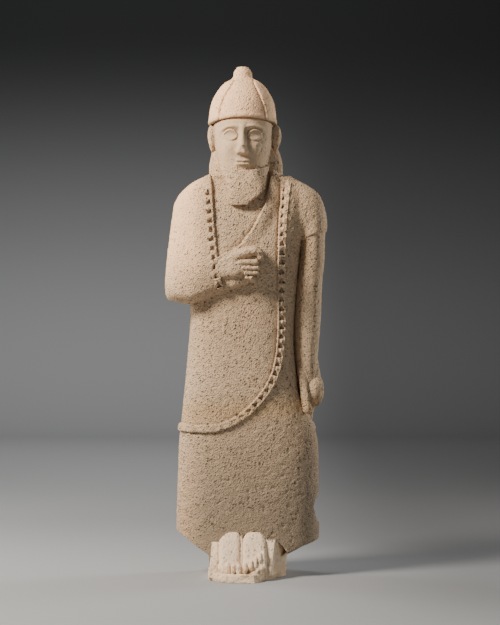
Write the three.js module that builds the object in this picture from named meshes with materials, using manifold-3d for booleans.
// Standing worshipper in limestone: a bearded man in a pointed cap, wrapped in a fringed mantle,
// one arm bent across the chest with a closed hand, the other hanging at the side.
// Millimetres, +Z up. The figure faces -Y, its own right side is at -X, and the origin lies on
// the flat underside of the broken plinth, below the middle of the robe.
import * as THREE from "three";
import { mergeVertices } from "three/addons/utils/BufferGeometryUtils.js";
import Module from "manifold-3d";

const wasm = await Module();
wasm.setup();

// Driving sizes
const HEIGHT = 1000; // underside of the plinth to the top of the cap's knob
const PLINTH_THICKNESS = 15; // slab under the toes
const FRINGE_WIDTH = 13; // across the fringed border of the mantle
const FRINGE_RELIEF = 5; // how far the border stands out of the cloth
const TASSEL_PITCH = 18; // from one pierced gap of the fringe to the next
const CLOTH_STEP = 3.5; // how far the mantle stands above the tunic
const FLAP_STEP = 2; // how far the cap's turned-up flaps stand out of its crown

// The carver's unit, a thousandth of the height. The figure's pose and proportions are in it.
const U = HEIGHT / 1000;

// Reach of the shapes that pass right through the figure, in units
const FAR = 400;

// Middle of the head, across
const HEAD_X = -8.5;

const STONE = new THREE.MeshStandardMaterial({ color: 0xcdb698, roughness: 0.9, metalness: 0 });

// Solids

function solidOf(geometry) {
  const bare = geometry.clone();
  bare.deleteAttribute("normal");
  bare.deleteAttribute("uv");
  const merged = mergeVertices(bare, 1e-3);
  return new wasm.Manifold(
    new wasm.Mesh({
      numProp: 3,
      vertProperties: merged.attributes.position.array,
      triVerts: new Uint32Array(merged.index.array),
    }),
  );
}

function geometryOf(solid) {
  const mesh = solid.getMesh();
  const geometry = new THREE.BufferGeometry();
  geometry.setAttribute("position", new THREE.BufferAttribute(mesh.vertProperties, 3));
  geometry.setIndex(new THREE.BufferAttribute(mesh.triVerts, 1));
  geometry.computeVertexNormals();
  return geometry;
}

const joined = (solids) => solids.reduce((all, next) => all.add(next));
const cutFrom = (solid, tools) => tools.reduce((left, tool) => left.subtract(tool), solid);

// Forms

// Rows of [height, then any number of values] as a smooth rule of height.
function ruleOf(rows) {
  const heights = rows.map((row) => row[0]);
  const values = rows.flatMap((row) => row.slice(1));
  const curve = new THREE.CubicInterpolant(heights, values, rows[0].length - 1);
  return (height) => Array.from(curve.evaluate(height));
}

const bowed = (share, squareness) => Math.sign(share) * Math.abs(share) ** (2 / squareness);

// A body of rounded sections, stacked by height. Each row is [z, left, right, front, back].
// squareness [front half, back half] is 2 for an oval section and more for a boxier one.
// lift moves each point up by a rule of its place across and its height.
function stacked(rows, sides, levels, squareness = [2.6, 3.4], lift = () => 0) {
  const rule = ruleOf(rows);
  const [low, high] = [rows[0][0], rows.at(-1)[0]];
  const stock = new THREE.CylinderGeometry(1, 1, 1, sides, levels).rotateX(Math.PI / 2);
  const points = stock.attributes.position;
  for (let i = 0; i < points.count; i++) {
    const [x, y] = [points.getX(i), points.getY(i)];
    const z = THREE.MathUtils.lerp(low, high, points.getZ(i) + 0.5);
    const [left, right, front, back] = rule(z);
    const power = y < 0 ? squareness[0] : squareness[1];
    const across = (left + right) / 2 + (bowed(x, power) * (right - left)) / 2;
    const along = (front + back) / 2 + (bowed(y, power) * (back - front)) / 2;
    points.setXYZ(i, across * U, along * U, (z + lift(across, z)) * U);
  }
  return solidOf(stock);
}

// The same rows with every section let out by grow, which may be a rule of height, and the top
// raised with it.
function letOut(rows, grow, raiseFrom = 700) {
  const top = rows.at(-1)[0];
  return rows.map(([z, left, right, front, back]) => {
    const more = typeof grow === "function" ? grow(z) : grow;
    const raise = more * THREE.MathUtils.smoothstep(z, raiseFrom, top);
    return [z + raise, left - more, right + more, front - more, back + more];
  });
}

function placed(geometry, centre, turn = [0, 0, 0]) {
  const [rx, ry, rz] = turn.map(THREE.MathUtils.degToRad);
  return geometry
    .rotateX(rx)
    .rotateY(ry)
    .rotateZ(rz)
    .translate(...centre.map((v) => v * U));
}

// A rounded lump with half sizes [x, y, z], turned by degrees about X, Y and Z.
function lump(centre, half, turn = [0, 0, 0], sides = 10, squareness = 2) {
  const ball = new THREE.SphereGeometry(1, sides, Math.round(sides * 0.55));
  const points = ball.attributes.position;
  for (let i = 0; i < points.count; i++) {
    const at = [points.getX(i), points.getY(i), points.getZ(i)];
    points.setXYZ(i, ...at.map((v) => bowed(v, squareness)));
  }
  return solidOf(placed(ball.scale(...half.map((v) => v * U)), centre, turn));
}

// A finger or a toe: a round-ended rod from one point to another.
function rod(from, to, radius, sides = 7) {
  const [start, end] = [new THREE.Vector3(...from), new THREE.Vector3(...to)];
  const run = end.clone().sub(start);
  const stock = new THREE.CapsuleGeometry(radius * U, run.length() * U, 2, sides);
  const upright = new THREE.Vector3(0, 1, 0);
  stock.applyQuaternion(new THREE.Quaternion().setFromUnitVectors(upright, run.normalize()));
  return solidOf(placed(stock, start.add(end).divideScalar(2).toArray()));
}

const shapeOf = (outline) => new THREE.Shape(outline.map(([a, b]) => new THREE.Vector2(a * U, b * U)));

// A closed outline in the front view, of [x, z] pairs, pushed through from y = near to y = far.
function frontPrism(outline, near = -FAR, far = FAR) {
  const options = { depth: (far - near) * U, bevelEnabled: false };
  const stock = new THREE.ExtrudeGeometry(shapeOf(outline), options);
  return solidOf(stock.rotateX(Math.PI / 2).translate(0, far * U, 0));
}

// A closed outline in the side view, of [y, z] pairs, pushed through from x = left to x = right.
function sidePrism(outline, left, right) {
  const options = { depth: (right - left) * U, bevelEnabled: false };
  const stock = new THREE.ExtrudeGeometry(shapeOf(outline), options);
  stock.rotateX(Math.PI / 2).rotateZ(Math.PI / 2);
  return solidOf(stock.translate(left * U, 0, 0));
}

// A closed outline in the plan view, of [x, y] pairs, standing from one height to another.
function planPrism(outline, low, high) {
  const options = { depth: high - low, bevelEnabled: false };
  return solidOf(new THREE.ExtrudeGeometry(shapeOf(outline), options).translate(0, 0, low));
}

// Lines drawn on the cloth, in the front view

const lineThrough = (points) =>
  new THREE.CatmullRomCurve3(points.map(([x, z]) => new THREE.Vector3(x, 0, z)));

const outlineOf = (line, steps) => line.getPoints(steps).map((at) => [at.x, at.z]);

// Left-shoulder border of the mantle: straight down the front, then round to the right hip.
const LONG_BORDER = lineThrough([
  [80, 800], [75, 750], [70, 693], [67, 620], [67, 540], [67, 485], [62, 428], [49, 384],
  [26, 349], [-8, 316], [-50, 295], [-95, 290], [-145, 293],
]);

// Right-shoulder border: from beside the neck, over the wrapped forearm, to under the wrist.
const SHORT_BORDER = lineThrough([
  [-78, 790], [-73, 742], [-69, 690], [-64, 636], [-60, 603], [-54, 573], [-46, 550],
]);

// Edge of the fold that crosses the chest, from the left of the neck to the hand.
const CHEST_FOLD = lineThrough([[50, 800], [42, 757], [30, 712], [12, 677], [-14, 642]]);

// The strip that follows a line at a width, as an outline.
function stripOutline(line, width, steps) {
  const edge = (side) =>
    Array.from({ length: steps + 1 }, (_, i) => {
      const along = line.getTangent(i / steps);
      const at = line.getPoint(i / steps);
      return [at.x - (side * along.z * width) / 2, at.z + (side * along.x * width) / 2];
    });
  return [...edge(1), ...edge(-1).reverse()];
}

// The gaps of the fringe: triangles that point up the border, one to each tassel.
function fringeGaps(line, first, last) {
  const length = line.getLength();
  const half = FRINGE_WIDTH / U / 2 - 2.8;
  const gaps = [];
  for (let run = first * length; run < last * length; run += TASSEL_PITCH / U) {
    const at = line.getPointAt(run / length);
    const along = line.getTangentAt(run / length);
    const corner = (forward, aside) => [
      at.x + along.x * forward - along.z * aside,
      at.z + along.z * forward + along.x * aside,
    ];
    gaps.push(frontPrism([corner(-5, 0), corner(4.5, -half), corner(4.5, half)], -FAR, 0));
  }
  return gaps;
}

// A fringed border: a strip of the let-out cloth with its gaps cut down to the cloth below.
function border(line, raised, cloth, steps, first, last) {
  const strip = frontPrism(stripOutline(line, FRINGE_WIDTH / U, steps), -FAR, 30);
  const gapped = cutFrom(raised.intersect(strip), fringeGaps(line, first, last));
  return gapped.add(cloth.intersect(strip));
}

// Robe and mantle. Rows are [z, left, right, front, back].

const TRUNK = [
  [0, -139, 142, -50, 68],
  [90, -139, 142, -58, 71],
  [190, -136, 141, -66, 70],
  [290, -131, 133, -71, 68],
  [330, -127, 117, -73, 67],
  [365, -124, 103, -75, 66],
  [400, -121, 97, -76, 65],
  [490, -114, 91, -77, 63],
  [580, -113, 95, -75, 62],
  [660, -118, 107, -71, 61],
  [705, -121, 118, -66, 60],
  [740, -112, 120, -58, 58],
  [765, -94, 104, -48, 55],
  [783, -72, 80, -38, 50],
  [798, -50, 52, -26, 44],
];

// The tunic shows between the two borders, a little deeper towards the neck.
const TUNIC = TRUNK.map(([z, left, right, front, back]) => {
  const deeper = CLOTH_STEP / U + 6 * THREE.MathUtils.smoothstep(z, 600, 740);
  return [z, left + 2, right - 2, front + deeper, back - 2];
});

// Broken lower outline of the robe, in the front view
const ROBE_OUTLINE = [
  [-200, 130], [-138, 89], [-112, 71], [-90, 55], [-73, 45], [-75, -10], [76, -10], [80, 48],
  [96, 56], [140, 72], [200, 90], [200, 900], [-200, 900],
];

const cloth = (rows) => stacked(rows, 22, 14);

function robe() {
  const wide = 300;
  const mantle = cloth(TRUNK);
  const edge = outlineOf(LONG_BORDER, 22);
  const mantleSide = [...edge, [-wide, 293], [-wide, -20], [wide, -20], [wide, 900], [80, 900]];
  const behind = [[-wide, -20], [wide, -20], [wide, 900], [-wide, 900]];
  const foldSide = [...outlineOf(CHEST_FOLD, 8), [-14, 500], [110, 500], [110, 900], [50, 900]];
  const foldHeight = (z) => 4.5 * THREE.MathUtils.smoothstep(z, 520, 640) - 0.5;
  const covered = frontPrism(mantleSide).add(frontPrism(behind, 0));
  const fringe = cloth(letOut(TRUNK, FRINGE_RELIEF / U));
  const whole = joined([
    cloth(TUNIC),
    mantle.intersect(covered),
    cloth(letOut(TUNIC, foldHeight)).intersect(frontPrism(foldSide, -FAR, 0)),
    border(LONG_BORDER, fringe, cloth(letOut(TRUNK, 0.6)), 22, 0.045, 0.97),
    hemBehind(),
  ]);
  return cutFrom(whole.intersect(frontPrism(ROBE_OUTLINE)), [footOpening(), skirtNotch()]);
}

// The mantle's lower edge goes on round the back as a plain band.
function hemBehind() {
  const [low, high] = [286, 299];
  const band = [[-200, low], [200, low + 4], [200, high + 4], [-200, high]];
  return cloth(letOut(TRUNK, 3.5)).intersect(frontPrism(band, 0));
}

// The robe ends in a low arch over each foot.
function footOpening() {
  const opening = [
    [-56, -10], [41, -10], [42, 60], [38, 82], [26, 91], [6, 92], [-9, 87], [-18, 90],
    [-36, 87], [-50, 76], [-56, 55],
  ];
  return frontPrism(opening, -FAR, -34);
}

// A piece is broken out of the skirt's left edge.
function skirtNotch() {
  const broken = [[170, 180], [144, 164], [135, 150], [131, 136], [134, 120], [141, 105], [170, 90]];
  return frontPrism(broken, -FAR, 48);
}

// The wrapped right arm: shoulder and bent elbow under the mantle.
const WRAPPED_ARM = [
  [533, -156, 0, -70, 34],
  [546, -159, 2, -83, 42],
  [560, -160, 4, -92, 46],
  [600, -158, 6, -93, 52],
  [650, -153, 4, -86, 55],
  [700, -147, 0, -75, 57],
  [735, -140, -12, -62, 56],
  [755, -126, -30, -52, 54],
  [770, -104, -46, -42, 51],
  [782, -76, -58, -34, 47],
];

// The underside of the forearm rises towards the hand, and a little towards the elbow.
function forearmLift(x, z) {
  const rise = x > -110 ? 0.33 * Math.min(x + 110, 110) : -0.2 * (x + 110);
  return rise * (1 - THREE.MathUtils.smoothstep(z, 535, 640));
}

function wrappedArm() {
  const edge = outlineOf(SHORT_BORDER, 9);
  const armSide = [...edge, [-46, 480], [-300, 480], [-300, 900], [-78, 900]];
  const sleeve = (grow) => stacked(letOut(WRAPPED_ARM, grow), 20, 9, [2.7, 2.8], forearmLift);
  return joined([
    sleeve(0).intersect(frontPrism(armSide)),
    border(SHORT_BORDER, sleeve(FRINGE_RELIEF / U), sleeve(0.6), 9, 0.05, 0.92),
  ]);
}

// The closed right hand comes out of the mantle at the middle of the chest.
function rightHand() {
  const wrist = lump([-48, -82, 601], [34, 20, 26], [0, -8, 0], 10, 2.4);
  const palm = lump([-9, -88, 605], [32, 24, 31], [0, -8, 0], 14, 3);
  const thumb = rod([-30, -100, 629], [27, -103, 634], 7.5);
  const fingers = [0, 1, 2, 3].map((i) => {
    const z = 618 - 12 * i;
    return rod([-6, -103, z + 2], [17 - 3.5 * i, -101, z], 7.5);
  });
  return joined([wrist, palm, thumb, ...fingers]);
}

// The left arm hangs down beside the robe.
const LEFT_ARM = [
  [380, 107, 140, -42, 18],
  [430, 105, 142, -43, 27],
  [500, 107, 145, -42, 33],
  [576, 108, 148, -43, 38],
  [623, 108, 153, -45, 43],
  [655, 102, 153.5, -46, 48],
  [702, 92, 155, -46, 54],
  [734, 84, 148, -43, 53],
  [752, 72, 138, -39, 50],
  [766, 60, 119, -34, 47],
  [782, 50, 88, -28, 43],
];

function leftArm() {
  const opening = [[70, 640], [92, 650], [110, 659], [126, 667], [160, 675], [220, 680]];
  const sleeveSide = frontPrism([...opening, [220, 900], [50, 900], [50, 640]]);
  const oval = [2.2, 2.4];
  return joined([
    stacked(LEFT_ARM, 14, 7, oval),
    stacked(letOut(LEFT_ARM, 2.5), 16, 9, oval).intersect(sleeveSide),
    leftHand(),
    armWeb(),
  ]);
}

// Uncut stone joins the arm to the robe at the back.
function armWeb() {
  const web = [
    [292, 30, 128, 26, 63],
    [345, 30, 138, 18, 62],
    [400, 30, 136, 12, 60],
    [500, 30, 141, 12, 58],
    [620, 30, 148, 14, 57],
    [700, 30, 147, 14, 55],
    [740, 30, 132, 12, 50],
    [758, 30, 112, 10, 44],
  ];
  return stacked(web, 14, 7, [3.4, 3.4]);
}

// A fist with the thumb in front, pointing down, and the fingers curled at the outer side.
function leftHand() {
  const palm = lump([130, -14, 366], [19, 32, 36], [0, 0, 0], 12, 2.8);
  const thumb = rod([116, -38, 376], [117, -46, 326], 9.5);
  const fingers = [0, 1, 2, 3].map((i) => {
    const y = -38 + 14.5 * i;
    return rod([141, y, 382], [144, y - 2, 345], 8);
  });
  return joined([palm, thumb, ...fingers]);
}

// Head, hair and beard

const HEAD = [
  [765, -40, 28, -52, 40],
  [790, -58, 45, -62, 52],
  [823, -65, 52, -66, 60],
  [850, -67, 54, -67, 65],
  [880, -68, 54.5, -66, 67],
  [905, -66, 52, -63, 66],
];

const FACE_Y = -66; // front of the face between brow and mouth
const EYE_Z = 860; // half-way from the crown to the chin
const EYE_WIDTH = 23.6; // a fifth of the head's width
const BROW_Z = 875;
const NOSE_BASE_Z = 823;
const MOUTH_Z = 804; // a third of the way from the nose to the chin

// Both sides of the face, from one side's places
const bothSides = (make) => [-1, 1].map((side) => make(side));

function head() {
  const eyeX = (side) => HEAD_X + side * EYE_WIDTH;
  const slant = (side) => [0, 0, side * 16];
  const sockets = bothSides((side) =>
    lump([eyeX(side), FACE_Y - 3, EYE_Z + 1], [EYE_WIDTH * 0.72, 8.5, 9.5], slant(side)),
  );
  const eyes = bothSides((side) =>
    lump([eyeX(side), FACE_Y + 9.5, EYE_Z], [EYE_WIDTH / 2, 8, 6.5], slant(side)),
  );
  const brows = bothSides((side) =>
    rod([HEAD_X + side * 8, FACE_Y + 2.5, BROW_Z], [HEAD_X + side * 38, FACE_Y + 11, BROW_Z - 2], 4),
  );
  const cheeks = bothSides((side) =>
    lump([HEAD_X + side * 26, FACE_Y + 17, 832], [20, 17, 22], slant(side)),
  );
  const bald = cutFrom(stacked(HEAD, 18, 5, [2.2, 2.3]), sockets);
  return joined([bald, ...eyes, ...brows, ...cheeks, nose(), mouth(), beard(), hair(), ...ears()]);
}

function nose() {
  const bridge = [
    [NOSE_BASE_Z - 4, 8, -68, -50],
    [NOSE_BASE_Z + 3, 13, -81, -50],
    [NOSE_BASE_Z + 10, 11, -84, -50],
    [NOSE_BASE_Z + 24, 6.5, -79, -50],
    [NOSE_BASE_Z + 40, 5.2, -73, -50],
    [BROW_Z + 2, 7, -66, -50],
  ];
  const rows = bridge.map(([z, half, front, back]) => [z, HEAD_X - half, HEAD_X + half, front, back]);
  const chip = frontPrism([[-30, 815], [14, 815], [6, 829], [-20, 838]], -120, -80);
  return stacked(rows, 10, 5, [2, 2.4]).subtract(chip);
}

function mouth() {
  const lip = (z, thick) => lump([HEAD_X, FACE_Y + 3, z], [14, 7, thick], [0, 0, 0], 8);
  return joined([lip(MOUTH_Z + 3, 3.6), lip(MOUTH_Z - 4, 4)]);
}

// The beard falls as one block with a flat front, narrower below. Its lower left corner is gone.
const BEARD = [
  [724, -31, 26, -91, -50],
  [745, -38, 31, -90, -44],
  [765, -44, 34.5, -86, -36],
  [785, -52, 38, -79, -24],
  [800, -59, 42, -72, -12],
  [815, -63, 47, -64, -4],
  [840, -66, 52, -52, 2],
];

function beard() {
  const lips = lump([HEAD_X, -70, MOUTH_Z], [19, 9, 9.5], [0, 0, 0], 8);
  const broken = [[3, 715], [60, 715], [60, 756], [31, 752], [25, 743], [16, 739], [10, 730], [5, 728]];
  const cheeksFree = lump([HEAD_X, -62, 838], [52, 34, 26], [0, 0, 0], 12);
  const block = stacked(BEARD, 16, 6, [3.6, 2.6]);
  const moustache = bothSides((side) =>
    rod([HEAD_X + side * 4, -69, MOUTH_Z + 11], [HEAD_X + side * 23, -65, MOUTH_Z + 3], 4, 6),
  );
  return joined([cutFrom(block, [lips, cheeksFree, frontPrism(broken)]), ...moustache]);
}

// Hair falls behind the ears and swells out above the shoulders.
function hair() {
  const mane = [
    [770, -64, 60, 2, 58],
    [785, -73, 69, -2, 64],
    [805, -75.5, 71, -4, 68],
    [826, -72, 67, 0, 69],
    [860, -65, 53, 6, 68],
    [895, -58, 44, 8, 62],
  ];
  return stacked(mane, 14, 6, [2.4, 3]);
}

function ears() {
  return [
    [-67, -77],
    [54, 67],
  ].map(([inner, outer]) => {
    const middle = (inner + outer) / 2;
    const half = Math.abs(outer - inner) / 2 + 3;
    const shell = lump([middle, -4, 862], [half, 13, 30], [8, 0, 0], 10, 2.3);
    const side = Math.sign(outer);
    const bowl = lump([outer + side * 2, -9, 866], [4.5, 8, 17], [8, 0, 0], 8);
    return shell.subtract(bowl);
  });
}

// Pointed cap with turned-up flaps at the sides and a knob on top

const CAP_PROFILE = [
  [0, 1000], [10, 999], [16, 994.5], [18.5, 987], [18, 980], [33, 969.5], [43, 961.5],
  [51, 952], [57, 941], [62, 923], [65, 900], [65, 880], [0, 880],
];

function cap() {
  const turned = (grow, from) => {
    const profile = CAP_PROFILE.map(([r, z]) => {
      const out = z < from ? grow : 0;
      return new THREE.Vector2((r > 0 ? r + out : 0) * U, z * U);
    });
    const stock = new THREE.LatheGeometry(profile.reverse(), 20).rotateX(Math.PI / 2);
    return solidOf(stock.scale(1, 1.1, 1).translate(HEAD_X * U, 2 * U, 0));
  };
  const flapSides = [
    [[-28, 966], [-43, 938], [-52, 914], [-57, 870], [-120, 870], [-120, 966]],
    [[16, 966], [120, 966], [120, 870], [40, 870], [34, 914], [26, 938]],
  ];
  const flaps = flapSides.map((side) => turned(FLAP_STEP / U, 968).intersect(frontPrism(side)));
  const brim = new THREE.EllipseCurve(HEAD_X, 876, 76, 19, Math.PI, 0, true).getPoints(10);
  const below = [...brim.map((at) => [at.x, at.y]), [120, 860], [-120, 860]];
  return joined([turned(0, 0), ...flaps]).subtract(frontPrism(below));
}

// Feet and plinth

// One foot from the robe to the toes. towards is the side of the big toe.
function foot(left, right, towards) {
  const instep = [
    [10, 6], [-91, 6], [-92, 25], [-86, 35], [-77, 47], [-67, 64], [-57, 84], [-42, 98], [10, 98],
  ];
  const width = right - left;
  const rounding = [
    [0, left, right, -112, 40],
    [25, left, right, -112, 40],
    [55, left + 2, right - 2, -112, 40],
    [100, left + 5, right - 5, -112, 40],
  ];
  const body = sidePrism(instep, left, right).intersect(stacked(rounding, 16, 4, [5, 5]));
  const shares = [0.15, 0.39, 0.57, 0.74, 0.9];
  const toes = shares.map((share, i) => {
    const x = towards > 0 ? right - share * width : left + share * width;
    const half = (i === 0 ? 0.155 : 0.1) * width;
    return lump([x, -93 + 1.5 * i, 24 - 0.6 * i], [half, 16 - i, 12.5 - i * 0.8], [0, 0, 0], 8, 2.3);
  });
  return joined([body, ...toes]);
}

// Broken outline of the plinth, in plan
const PLINTH_OUTLINE = [
  [-74, -76], [-47, -111], [14, -119], [31, -92], [55, -60], [66, 12], [75, 76], [40, 84],
  [-40, 83], [-74, 76], [-77, 0],
];

function plinth() {
  const slab = planPrism(PLINTH_OUTLINE, 0, PLINTH_THICKNESS);
  const stripSide = [[10, 5], [-86, 5], [-84, 16], [-70, 30], [-62, 52], [-52, 70], [10, 70]];
  const rightBlock = planPrism([[38, -80], [50, -70], [56, -59], [79, 64], [38, 64]], 5 * U, 66 * U);
  const ridgeCut = sidePrism([[-90, 74], [-90, 24], [-76, 30], [-60, 60], [-40, 74]], 30, 90);
  return joined([slab, sidePrism(stripSide, -73, -54), rightBlock.subtract(ridgeCut)]);
}

const statue = joined([
  robe(),
  wrappedArm(),
  rightHand(),
  leftArm(),
  head(),
  cap(),
  foot(-55, -13.5, 1),
  foot(-11.5, 40, -1),
  plinth(),
]);

const worshipper = new THREE.Group();
const figure = new THREE.Mesh(geometryOf(statue), STONE);
figure.name = "worshipper";
worshipper.add(figure);

export default worshipper;
